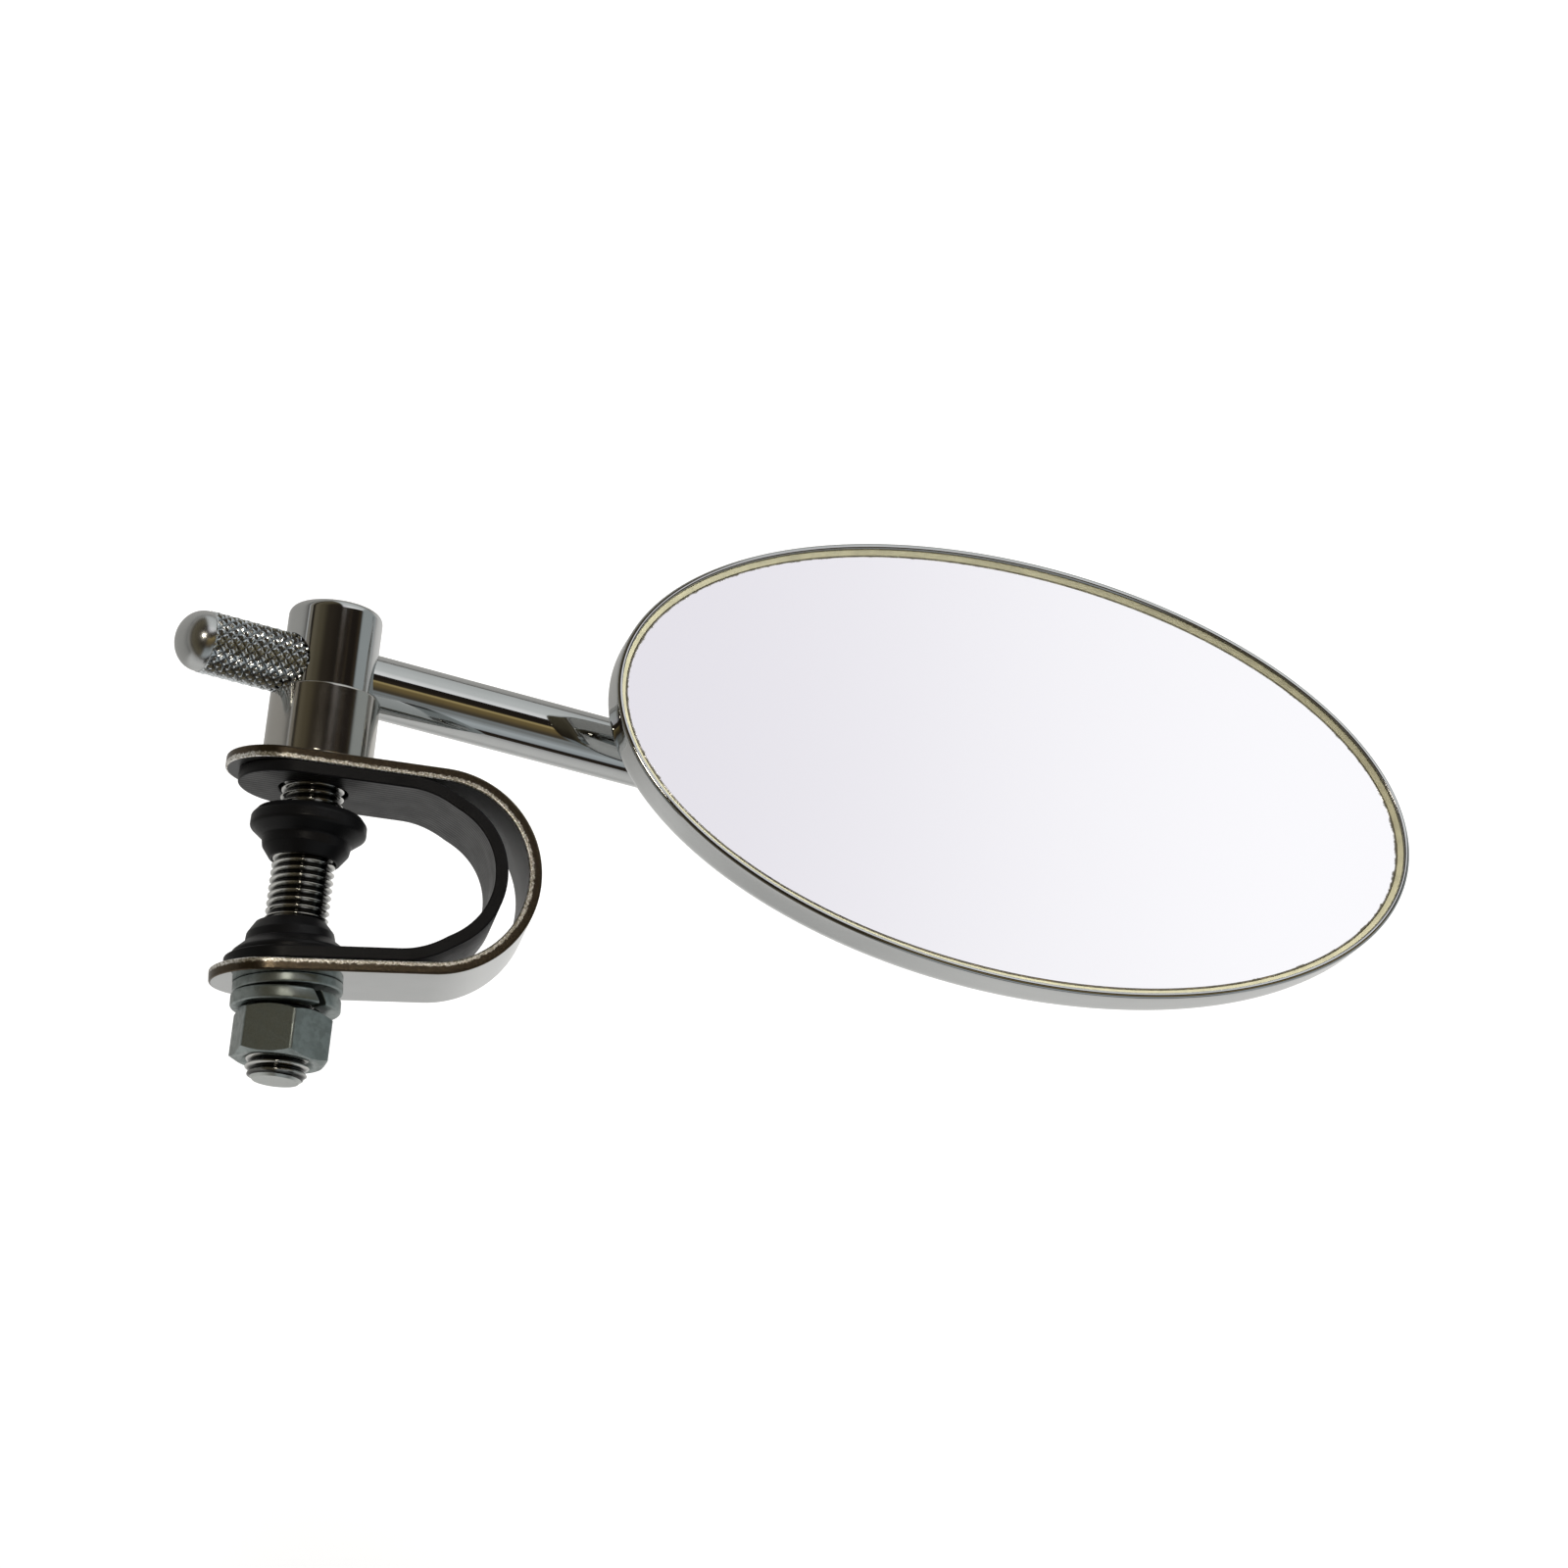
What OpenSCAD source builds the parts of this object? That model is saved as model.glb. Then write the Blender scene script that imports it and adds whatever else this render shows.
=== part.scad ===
// Clamp-on motorcycle mirror: oval head, straight stem, eye bolt and lined strap clamp.
// Millimetres. The origin is the centre of the handlebar the strap closes round.
// X runs along the stem to the mirror head, Y along the eye bolt to its post, Z is up.

/* [Handlebar clamp] */
// Diameter of the handlebar
bar_d = 22.2; // [21:0.1:23]
// Width of the strap along the bar
strap_w = 19; // [16:0.5:22]
// Thickness of the steel strap
strap_t = 2; // [1.5:0.1:2.5]
// Thickness of the rubber liner
liner_t = 2; // [1.5:0.1:2.3]
// Room left between the liner and the strap's bend
bend_room = 3.3; // [2.6:0.1:4]
// Spread of each limb, as sprung open
limb_splay = 3; // [1:0.5:4]
// Turn of the clamp about the eye bolt
clamp_turn = 20; // [10:1:30]

/* [Eye bolt] */
// Outer diameter of the thread
bolt_d = 10; // [9:0.5:10]
// Pitch of the thread
thread_pitch = 1.25; // [1:0.05:1.5]
// Width of the nut across its flats
nut_af = 14; // [13:0.5:16]
// Height of the nut
nut_h = 7.8; // [6:0.2:9]
// Diameter of the post with the cross hole
post_d = 15; // [14.5:0.25:16]
// Diameter of the saddle sleeve
sleeve_d = 17.5; // [17.3:0.1:19]
// Height of the stem above the strap
stem_rise = 15.6; // [14:0.2:17]
// Height of the post above the stem's axis
post_rise = 10.5; // [8:0.5:13]

/* [Bushes and washers] */
// Largest diameter of a rubber bush
bush_d = 18.4; // [17:0.2:18.6]
// Height of a rubber bush
bush_h = 7.7; // [6:0.1:8]
// Distance of the loose bush below the upper limb
bush_drop = 4; // [3.6:0.1:4.4]
// Outer diameter of both washers
washer_d = 17.2; // [16.4:0.2:18.4]
// Thickness of the flat washer
flat_t = 1.6; // [1.2:0.1:2]
// Thickness of the spring washer
spring_t = 2.2; // [1.8:0.1:2.6]

/* [Stem] */
// Diameter of the stem
stem_d = 10; // [9:0.2:10.2]
// Distance from the eye bolt to the ball
stem_reach = 118.3; // [112:1:135]
// Distance from the eye bolt to the rounded end
stem_tail = 28; // [24:1:36]
// Diameter of the ball
ball_d = 13; // [12.6:0.2:14]
// Wall of the socket round the ball
socket_wall = 2.4; // [2:0.2:3]
// Diameter of the pillar from the socket to the head
pillar_d = 12.4; // [11:0.2:13]

/* [Mirror head] */
// Length of the glass
glass_l = 134.2; // [128:1:140]
// Height of the glass
glass_w = 70.5; // [66:0.5:78]
// Thickness of the glass
glass_t = 2.4; // [2:0.2:3]
// Radial width of the seal round the glass
seal_w = 0.8; // [0.6:0.1:1.2]
// Sheet thickness of the shell
shell_t = 1; // [0.8:0.1:1.2]
// Depth of the whole shell behind the glass
shell_depth = 15.5; // [14:0.5:18]
// Room between the back of the shell and the stem
stem_room = 2.4; // [2.2:0.2:6]
// Tilt of the head about its long axis
head_nod = -3.1; // [-8:0.1:0]
// Tilt of the head towards the clamp
head_yaw = -15.3; // [-17:0.1:-12]
// Turn of the oval in its own plane
head_roll = -3.8; // [-8:0.1:4]

/* [Hidden] */
bar_r = bar_d / 2;
bolt_r = bolt_d / 2;
stem_r = stem_d / 2;
ball_r = ball_d / 2;
run_gap = 0.05;
seat_gap = 0.03;
through = 5 * bar_d;
// strap: the bend and the two limb planes
bend_x = 1.7;
bend_r = bar_r + liner_t + bend_room - bend_x;
strap_line = bend_r + bend_x * sin(limb_splay);
liner_line = strap_line - seat_gap - liner_t;
blend_x = 3.6;
blend_r = liner_line + blend_x * sin(limb_splay);
bolt_off = bar_r + bolt_r + 2.2;
ear_past = 13.3;
liner_past = 11.2;
strap_len = bolt_off + ear_past;
liner_len = bolt_off + liner_past;
// places along the eye bolt
bolt_x = -bolt_off * cos(clamp_turn);
bolt_z = -bolt_off * sin(clamp_turn);
limb_top = strap_line + strap_t;
lean = 2 * limb_splay;
limb_low = -(limb_top + bolt_off * sin(lean)) / cos(lean);
liner_low = -(liner_line + bolt_off * sin(lean)) / cos(lean);
flat_low = limb_low - seat_gap - flat_t / cos(lean);
spring_top = flat_low - washer_d / 2 * (tan(lean) - tan(limb_splay)) - seat_gap;
nut_top = spring_top - spring_t / cos(limb_splay) - washer_d / 2 * tan(limb_splay) - seat_gap;
bolt_end = nut_top - nut_h - 3;
stem_y = limb_top + stem_rise;
post_top = stem_y + post_rise;
post_low = limb_top + 2;
sleeve_top = stem_y - stem_r + 1;
bush_top = liner_line - bush_drop;
// mirror head
rim_a = glass_l / 2;
rim_b = glass_w / 2;
lip_z = 1;
wall_z = -4.6;
shell_o = seal_w + shell_t;
pad_f = 0.3;
// the glass stands off the ball so that the domed back clears the stem
head_stand = max([for (a = [0 : 15 : 90])
  (stem_r + stem_room - (rim_a * (pad_f + (1 - pad_f) * cos(a)) + shell_o) * sin(head_yaw))
  / cos(head_yaw) / cos(head_nod) - wall_z + (shell_depth + wall_z) * sin(a)]);
// stem neck, ball and socket
neck_r = stem_r * 0.64;
spigot_r = stem_r * 0.6;
neck_l = ball_r + stem_d * 0.9;
mouth_r = ball_r * 0.75;
mouth_x = -ball_r * 0.62;
socket_r = ball_r + socket_wall;
socket_end = ball_r + socket_wall * 1.2;
foot_t = socket_wall * 0.85;
round_fn = 64;

chrome = [0.78, 0.79, 0.8];
black = [0.09, 0.09, 0.09];
zinc = [0.55, 0.6, 0.62];

// frame of the strap: Z along the bar, X towards the bend
module in_clamp() {
  rotate([0, -clamp_turn, 0])
    children();
}

// a body turned about the eye bolt, drawn with its axis up
module on_bolt(y = 0, tip = 0) {
  translate([bolt_x, y, bolt_z])
    rotate([0, -clamp_turn, 0])
      rotate([0, 0, tip])
        rotate([-90, 0, 0])
          children();
}

// frame of the head: X along the oval, Z out of the glass
module in_head() {
  translate([bolt_x + stem_reach, stem_y, bolt_z])
    rotate([head_nod, head_yaw, head_roll])
      translate([0, 0, head_stand])
        children();
}

// inside of a U with a round bend and two limbs that open outwards
module u_room(r, x, reach) {
  translate([x, 0])
    circle(r = r, $fn = 96);
  top = [x + r * sin(limb_splay), r * cos(limb_splay)];
  end = top + [-reach, reach * tan(limb_splay)];
  polygon([top, end, [end[0], -end[1]], [top[0], -top[1]]]);
}

// plan of a limb: straight sides and a rounded end
module ear_plan(len) {
  rotate([90, 0, 0]) {
    translate([-len + strap_w / 2, 0, -through / 2])
      cylinder(r = strap_w / 2, h = through, $fn = round_fn);
    translate([-len + strap_w / 2, -strap_w / 2, -through / 2])
      cube([len + through, strap_w, through]);
  }
}

module clamp_strap() {
  color(chrome)
    in_clamp()
      difference() {
        rotate([0, 0, limb_splay])
          intersection() {
            translate([0, 0, -strap_w / 2])
              linear_extrude(height = strap_w)
                difference() {
                  u_room(bend_r + strap_t, bend_x, strap_len + bend_x + strap_t);
                  u_room(bend_r, bend_x, strap_len + through);
                }
            ear_plan(strap_len);
          }
        // hole of the upper limb, then that of the lower limb
        translate([-bolt_off, 0, 0])
          rotate([-90, 0, 0])
            cylinder(r = bolt_r + 0.08, h = through, $fn = round_fn);
        translate([-bolt_off, 0, 0])
          rotate([90, 0, 0])
            cylinder(r = bolt_r + 0.4, h = through, $fn = round_fn);
      }
}

module clamp_liner() {
  color(black)
    in_clamp()
      difference() {
        rotate([0, 0, limb_splay])
          intersection() {
            translate([0, 0, -strap_w / 2])
              linear_extrude(height = strap_w)
                difference() {
                  union() {
                    circle(r = bar_r + liner_t, $fn = 96);
                    u_room(blend_r + liner_t, -blend_x, liner_len);
                  }
                  circle(r = bar_r, $fn = 96);
                  u_room(blend_r, -blend_x, liner_len + through);
                }
            ear_plan(liner_len);
          }
        translate([-bolt_off, -through / 2, 0])
          rotate([-90, 0, 0])
            cylinder(r = bolt_r + 0.5, h = through, $fn = round_fn);
      }
}

// rubber bush with a flange, a step and a tapered nose, its flange at the bottom
module bush_form() {
  r = bush_d / 2;
  rotate_extrude($fn = round_fn)
    polygon([[0, 0], [r - 0.5, 0], [r, 0.5], [r, bush_h * 0.28], [r - 0.5, bush_h * 0.42],
             [r - 1.7, bush_h * 0.54], [r - 2.2, bush_h * 0.62], [r - 2.5, bush_h * 0.76],
             [r - 3.3, bush_h * 0.93], [r - 3.8, bush_h], [0, bush_h]]);
}

module upper_bush() {
  color(black)
    difference() {
      on_bolt(bush_top)
        mirror([0, 0, 1])
          bush_form();
      on_bolt(bush_top - bush_h * 2)
        cylinder(r = bolt_r + 0.04, h = bush_h * 3, $fn = round_fn);
    }
}

module lower_bush() {
  color(black)
    difference() {
      on_bolt(liner_low + seat_gap, lean)
        bush_form();
      on_bolt(liner_low - bush_h)
        cylinder(r = bolt_r + 0.3, h = bush_h * 3, $fn = round_fn);
    }
}

module flat_washer() {
  color(zinc)
    difference() {
      on_bolt(limb_low - seat_gap, lean)
        translate([0, 0, -flat_t])
          cylinder(r = washer_d / 2, h = flat_t, $fn = round_fn);
      on_bolt(limb_low - bolt_d)
        cylinder(r = bolt_r + 0.4, h = bolt_d * 2, $fn = round_fn);
    }
}

module spring_washer() {
  color(zinc)
    difference() {
      on_bolt(spring_top, limb_splay)
        translate([0, 0, -spring_t])
          cylinder(r = washer_d / 2, h = spring_t, $fn = round_fn);
      on_bolt(spring_top - bolt_d)
        cylinder(r = bolt_r + 0.3, h = bolt_d * 2, $fn = round_fn);
      // slanting split of the ring
      on_bolt(spring_top - spring_t / 2)
        rotate([0, 0, -55])
          translate([washer_d / 2, 0, 0])
            rotate([35, 0, 0])
              cube([washer_d, 1.1, 3 * spring_t], center = true);
    }
}

module hex_nut() {
  corner = nut_af / 2 / cos(30);
  face_r = nut_af / 2 - 0.2;
  wide = corner + 0.5;
  cham = (wide - face_r) * tan(30);
  color(zinc)
    on_bolt(nut_top - nut_h)
      difference() {
        intersection() {
          rotate([0, 0, -20])
            cylinder(r = corner, h = nut_h, $fn = 6);
          rotate_extrude($fn = round_fn)
            polygon([[0, 0], [face_r, 0], [wide, cham], [wide, nut_h - cham],
                     [face_r, nut_h], [0, nut_h]]);
        }
        translate([0, 0, -nut_h])
          cylinder(r = bolt_r + 0.04, h = nut_h * 3, $fn = round_fn);
        translate([0, 0, -0.3])
          cylinder(r1 = bolt_r + 1, r2 = bolt_r - 0.2, h = 1.2, $fn = round_fn);
      }
}

// half section of the bolt: end chamfer, ring of threads, plain shank, post with a round edge
module bolt_section() {
  root = bolt_r - 0.61 * thread_pitch;
  turns = floor((limb_top - 1 - bolt_end - 1.2) / thread_pitch);
  start = bolt_end + 1.2;
  threads = [for (k = [0 : turns - 1], s = [0 : 1])
    [s == 0 ? root : bolt_r, start + (k + s / 2) * thread_pitch]];
  edge = [for (a = [0 : 15 : 90])
    [post_d / 2 - 1.4 + 1.4 * cos(a), post_top - 1.4 + 1.4 * sin(a)]];
  polygon(concat([[0, bolt_end], [bolt_r - 1.3, bolt_end], [bolt_r - 0.9, bolt_end + 0.3]],
                 threads, [[bolt_r, start + turns * thread_pitch], [bolt_r, post_low - 0.6],
                 [post_d / 2 - 0.5, post_low - 0.6], [post_d / 2, post_low]],
                 edge, [[0, post_top]]));
}

module eye_bolt() {
  color(chrome)
    difference() {
      on_bolt()
        rotate_extrude($fn = 40)
          bolt_section();
      translate([bolt_x, stem_y, bolt_z])
        rotate([0, 90, 0])
          cylinder(r = stem_r + run_gap, h = post_d * 2, center = true, $fn = round_fn);
    }
}

module saddle_sleeve() {
  color(chrome)
    difference() {
      on_bolt(limb_top + run_gap)
        difference() {
          cylinder(r = sleeve_d / 2, h = sleeve_top - limb_top - run_gap, $fn = round_fn);
          translate([0, 0, -sleeve_d])
            cylinder(r = post_d / 2 + run_gap, h = sleeve_d * 3, $fn = round_fn);
        }
      translate([bolt_x, stem_y, bolt_z])
        rotate([0, 90, 0])
          cylinder(r = stem_r + run_gap, h = sleeve_d * 2, center = true, $fn = round_fn);
    }
}

// half section of the stem: rounded tail, knurled grip, shank, neck and ball spigot
module stem_section() {
  tail = [for (a = [0 : 15 : 75]) [stem_r * sin(a), -stem_tail + stem_r * (1 - cos(a))]];
  grip = -stem_tail + stem_r;
  shoulder = stem_reach - neck_l;
  polygon(concat(tail, [[stem_r - 0.25, grip - 0.3], [stem_r - 0.25, grip + 0.5],
                 [stem_r, grip + 0.8], [stem_r, shoulder], [neck_r, shoulder + stem_r / 2],
                 [neck_r, stem_reach - ball_r * 0.8], [spigot_r, stem_reach - ball_r * 0.8],
                 [spigot_r, stem_reach + ball_r * 0.5], [0, stem_reach + ball_r * 0.5]]));
}

module stem() {
  color(chrome)
    translate([bolt_x, stem_y, bolt_z])
      rotate([0, 90, 0])
        rotate_extrude($fn = 56)
          stem_section();
}

// ball with a blind bore for the spigot of the stem
module stem_ball() {
  color(chrome)
    translate([bolt_x + stem_reach, stem_y, bolt_z])
      rotate([0, 90, 0])
        difference() {
          sphere(r = ball_r, $fn = 48);
          translate([0, 0, -ball_r * 2])
            cylinder(r = spigot_r + run_gap, h = ball_r * 2.5 + 0.1, $fn = round_fn);
          translate([0, 0, -ball_r * 2])
            cylinder(r = ball_r, h = ball_r * 1.2, $fn = round_fn);
        }
}

// socket: barrel round the ball, pillar and foot on the back of the shell
module socket_bracket() {
  color(chrome)
    difference() {
      union() {
        translate([bolt_x + stem_reach, stem_y, bolt_z])
          rotate([0, 90, 0])
            rotate_extrude($fn = round_fn)
              polygon([[0, mouth_x], [socket_r - 1, mouth_x], [socket_r, mouth_x + 1],
                       [socket_r, ball_r * 0.92], [ball_r * 0.92, socket_end], [0, socket_end]]);
        in_head() {
          translate([0, 0, -head_stand])
            cylinder(r = pillar_d / 2, h = head_stand - shell_depth - foot_t / 4, $fn = round_fn);
          translate([0, 0, -shell_depth - foot_t])
            cylinder(r1 = pillar_d * 0.73, r2 = pillar_d * 0.84, h = foot_t - seat_gap, $fn = round_fn);
        }
      }
      translate([bolt_x + stem_reach, stem_y, bolt_z])
        sphere(r = ball_r + 0.06, $fn = 48);
      // room for the neck of the stem as the head tilts
      translate([bolt_x + stem_reach - 2 * ball_r, stem_y, bolt_z])
        rotate([0, 90, 0])
          cylinder(r1 = ball_r + run_gap, r2 = mouth_r, h = 2 * ball_r, $fn = round_fn);
    }
}

// a profile swept round the oval: each point is [share of the oval, offset, height]
module oval_sweep(profile, steps = 84) {
  m = len(profile);
  pts = [for (k = [0 : steps - 1], p = profile)
    [(rim_a * p[0] + p[1]) * cos(360 * k / steps),
     (rim_b * p[0] + p[1]) * sin(360 * k / steps), p[2]]];
  faces = [for (k = [0 : steps - 1], j = [0 : m - 1])
    [k * m + j, k * m + (j + 1) % m,
     ((k + 1) % steps) * m + (j + 1) % m, ((k + 1) % steps) * m + j]];
  polyhedron(points = pts, faces = faces, convexity = 4);
}

module oval_plate(grow, thick) {
  linear_extrude(height = thick)
    scale([(rim_a + grow) / (rim_b + grow), 1])
      circle(r = rim_b + grow, $fn = 84);
}

module mirror_glass() {
  color([0.9, 0.9, 0.92])
    in_head()
      translate([0, 0, -glass_t])
        oval_plate(0, glass_t);
}

// cream seal: lies round the edge of the glass and stands a little proud of it
module glass_seal() {
  w = seal_w - seat_gap;
  color([0.93, 0.9, 0.72])
    in_head()
      oval_sweep([[1, seat_gap, -glass_t], [1, w, -glass_t], [1, w, 0.7], [1, w * 0.6, 0.85],
                  [1, seat_gap, 0.6]]);
}

// pressed shell: rolled lip, short wall, ledge under the glass and a domed back with a flat pad
module mirror_shell() {
  drop = shell_depth + wall_z;
  back = [for (a = [15 : 15 : 75]) [pad_f + (1 - pad_f) * cos(a), shell_o, wall_z - drop * sin(a)]];
  room = [for (a = [75 : -15 : 15])
    [pad_f + (1 - pad_f) * cos(a), shell_o - shell_t, wall_z - (drop - shell_t) * sin(a)]];
  ledge = -glass_t - seat_gap;
  color(chrome)
    in_head() {
      oval_sweep(concat(
        [[1, shell_o - 0.3, lip_z - 0.1], [1, shell_o, lip_z - 0.5], [1, shell_o, wall_z]], back,
        [[pad_f, shell_o, -shell_depth], [0.02, 0, -shell_depth],
         [0.02, 0, -shell_depth + shell_t], [pad_f, shell_o - shell_t, -shell_depth + shell_t]],
        room, [[1, seal_w - 1.6, wall_z], [1, seal_w - 2.4, ledge], [1, seal_w, ledge],
        [1, seal_w, lip_z - 0.4], [1, seal_w + 0.3, lip_z]]));
      translate([0, 0, -shell_depth])
        cylinder(r = rim_b * 0.08, h = shell_t, $fn = 24);
    }
}

mirror_glass();
glass_seal();
mirror_shell();
socket_bracket();
stem_ball();
stem();
eye_bolt();
saddle_sleeve();
clamp_strap();
clamp_liner();
upper_bush();
lower_bush();
flat_washer();
spring_washer();
hex_nut();
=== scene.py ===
# Clamp-on motorcycle mirror: the looks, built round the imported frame
import math

import bmesh
import bpy
import numpy as np
from mathutils import Matrix, Vector


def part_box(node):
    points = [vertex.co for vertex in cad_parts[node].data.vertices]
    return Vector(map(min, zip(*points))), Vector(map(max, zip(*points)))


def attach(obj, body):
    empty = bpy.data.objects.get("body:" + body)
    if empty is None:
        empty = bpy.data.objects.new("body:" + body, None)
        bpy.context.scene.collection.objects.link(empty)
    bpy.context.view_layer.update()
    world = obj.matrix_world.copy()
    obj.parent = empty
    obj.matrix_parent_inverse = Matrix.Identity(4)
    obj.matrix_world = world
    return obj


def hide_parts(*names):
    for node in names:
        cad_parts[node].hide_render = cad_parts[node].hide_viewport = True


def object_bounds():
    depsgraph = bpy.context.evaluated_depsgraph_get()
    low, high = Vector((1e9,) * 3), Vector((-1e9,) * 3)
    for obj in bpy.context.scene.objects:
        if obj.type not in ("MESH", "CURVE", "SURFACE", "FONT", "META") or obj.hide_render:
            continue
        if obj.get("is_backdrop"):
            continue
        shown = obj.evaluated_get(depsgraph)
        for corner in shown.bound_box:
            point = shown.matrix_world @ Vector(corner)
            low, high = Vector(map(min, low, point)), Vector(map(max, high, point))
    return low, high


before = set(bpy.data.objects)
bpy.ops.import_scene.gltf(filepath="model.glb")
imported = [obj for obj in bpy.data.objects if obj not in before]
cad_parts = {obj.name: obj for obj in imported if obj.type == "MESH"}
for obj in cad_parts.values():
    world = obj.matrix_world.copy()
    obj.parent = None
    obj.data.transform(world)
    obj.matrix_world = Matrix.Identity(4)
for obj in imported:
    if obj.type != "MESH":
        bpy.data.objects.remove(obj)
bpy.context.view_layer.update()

mm = 0.001
scene = bpy.context.scene


# camera at the photograph's place, fitted to the bolt, strap, stem and oval
cameraSettings = {
    "place": (-0.26059, -0.18407, 0.59429),  # metres, in the part's frame
    "right": (0.85983, 0.09194, 0.50224),
    "down": (0.2297, -0.94814, -0.21968),
    "forward": (0.456, 0.30425, -0.83636),
    "lens": 97.99,
    "sensor": 36.0,
}


def makeCamera(settings):
    data = bpy.data.cameras.new("studioCamera")
    data.lens = settings["lens"]
    data.sensor_width = settings["sensor"]
    data.clip_start, data.clip_end = 0.01, 50
    camera = bpy.data.objects.new("studioCamera", data)
    scene.collection.objects.link(camera)
    right, down, forward = (Vector(settings[k]).normalized() for k in ("right", "down", "forward"))
    turned = Matrix((right, -down, -forward)).transposed()
    camera.matrix_world = Matrix.Translation(settings["place"]) @ turned.to_4x4()
    scene.camera = camera


makeCamera(cameraSettings)
print("camera placed")


# shader maths as Python expressions
class Wire:
    def __init__(self, paint, socket):
        self.paint = paint
        self.socket = socket

    def maths(self, operation, first, second):
        return self.paint.node("Math", {"operation": operation}, {0: first, 1: second})

    def __add__(self, other):
        return self.maths("ADD", self, other)

    def __radd__(self, other):
        return self.maths("ADD", other, self)

    def __sub__(self, other):
        return self.maths("SUBTRACT", self, other)

    def __rsub__(self, other):
        return self.maths("SUBTRACT", other, self)

    def __mul__(self, other):
        return self.maths("MULTIPLY", self, other)

    def __rmul__(self, other):
        return self.maths("MULTIPLY", other, self)

    def __truediv__(self, other):
        return self.maths("DIVIDE", self, other)

    def __rtruediv__(self, other):
        return self.maths("DIVIDE", other, self)


# one node tree under construction, of a material or of the world
class Paint:
    def __init__(self, owner):
        owner.use_nodes = True
        self.owner = owner
        self.tree = owner.node_tree
        self.tree.nodes.clear()

    def node(self, kind, settings, inputs, output=0):
        made = self.tree.nodes.new("ShaderNode" + kind)
        for key, value in settings.items():
            if key == "stops":
                fillRamp(made.color_ramp, value)
            else:
                setattr(made, key, value)
        for key, value in inputs.items():
            if isinstance(value, Wire):
                self.tree.links.new(value.socket, made.inputs[key])
            else:
                made.inputs[key].default_value = value
        return Wire(self, made.outputs[output]) if made.outputs else made

    def coordinates(self, kind="Object"):
        return self.node("TexCoord", {}, {}, kind)

    def axes(self, vector):
        split = self.node("SeparateXYZ", {}, {0: vector})
        return [Wire(self, s) for s in split.socket.node.outputs]

    def along(self, vector, origin, axis):  # distance from origin along axis
        moved = self.node("VectorMath", {"operation": "SUBTRACT"}, {0: vector, 1: tuple(origin)})
        return self.node("VectorMath", {"operation": "DOT_PRODUCT"}, {0: moved, 1: tuple(axis)}, 1)

    def noise(self, vector, scale, detail=2.0, roughness=0.5):
        return self.node("TexNoise", {}, {"Vector": vector, "Scale": scale, "Detail": detail,
                                          "Roughness": roughness})

    def ramp(self, value, stops):  # eased from stop to stop
        return self.node("ValToRGB", {"stops": ("EASE", stops)}, {0: value})

    def between(self, value, low, high):  # smooth step, 0 at low and 1 at high
        return self.node("MapRange", {"interpolation_type": "SMOOTHSTEP"}, {0: value, 1: low, 2: high})

    def length(self, first, second):  # of the vector (first, second)
        return self.node("Math", {"operation": "SQRT"}, {0: first * first + second * second})

    def blend(self, mask, first, second):  # colours
        made = self.node("Mix", {"data_type": "RGBA"}, {}, 2)
        inputs = made.socket.node.inputs
        for socket, value in ((inputs[0], mask), (inputs[6], first), (inputs[7], second)):
            if isinstance(value, Wire):
                self.tree.links.new(value.socket, socket)
            else:
                socket.default_value = value if isinstance(value, float) else (*value[:3], 1.0)
        return made

    def bump(self, height, strength, depth):  # depth in millimetres
        return self.node("Bump", {}, {"Strength": strength, "Distance": depth * mm, "Height": height})

    def rays(self, kind):  # 1 for the rays of one kind
        return self.node("LightPath", {}, {}, f"Is {kind} Ray")

    def surface(self, shader):
        kind = "OutputWorld" if isinstance(self.owner, bpy.types.World) else "OutputMaterial"
        self.node(kind, {}, {"Surface": shader})

    def finish(self, inputs):  # the Principled shader and the output
        self.surface(self.node("BsdfPrincipled", {}, inputs))
        return self.owner


def fillRamp(ramp, settings):
    ramp.interpolation, stops = settings
    while len(ramp.elements) < len(stops):
        ramp.elements.new(1.0)
    for element, (place, colour) in zip(ramp.elements, stops):
        element.position = place
        element.color = (*colour[:3], 1.0)


def newPaint(name):
    return Paint(bpy.data.materials.new(name))


# places of the part, read back from the CAD solids, in millimetres
def turn(axis, degrees):
    return Matrix.Rotation(math.radians(degrees), 4, axis)


def middle(node):
    low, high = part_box(node)
    return (low + high) / 2 / mm


def headFrame():
    corners = np.array([v.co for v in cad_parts["mirror_glass"].data.vertices]) / mm
    centre = middle("mirror_glass")
    spread = np.linalg.svd(corners - np.array(centre), full_matrices=False)[2]
    wanted = (Vector((1, 0, 0)), Vector((0, 1, 0)), Vector((0, 0, 1)))
    axes = [Vector(row) * (1 if Vector(row).dot(w) > 0 else -1) for row, w in zip(spread, wanted)]
    placed = Matrix(axes).transposed().to_4x4()
    placed.translation = centre + axes[2] * glassSettings["thickness"] / 2
    return placed


clampSettings = {"turn": -20, "splay": 3, "lean": 6}
glassSettings = {"length": 134.2, "width": 70.5, "thickness": 2.4, "edge": 0.25}
boltPlace = middle("saddle_sleeve")
stemAxis = middle("stem_ball")
inClamp = turn("Y", clampSettings["turn"])
inBand = inClamp @ turn("Z", clampSettings["splay"])
inHead = headFrame()
onStem = Matrix.Translation((boltPlace.x, stemAxis.y, boltPlace.z)) @ turn("Y", 90)


def onBolt(height=0, tip=0):
    return (Matrix.Translation((boltPlace.x, height, boltPlace.z)) @ inClamp
            @ turn("Z", tip) @ turn("X", -90))


print("frames read: bolt", boltPlace, "head", inHead.translation)


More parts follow.
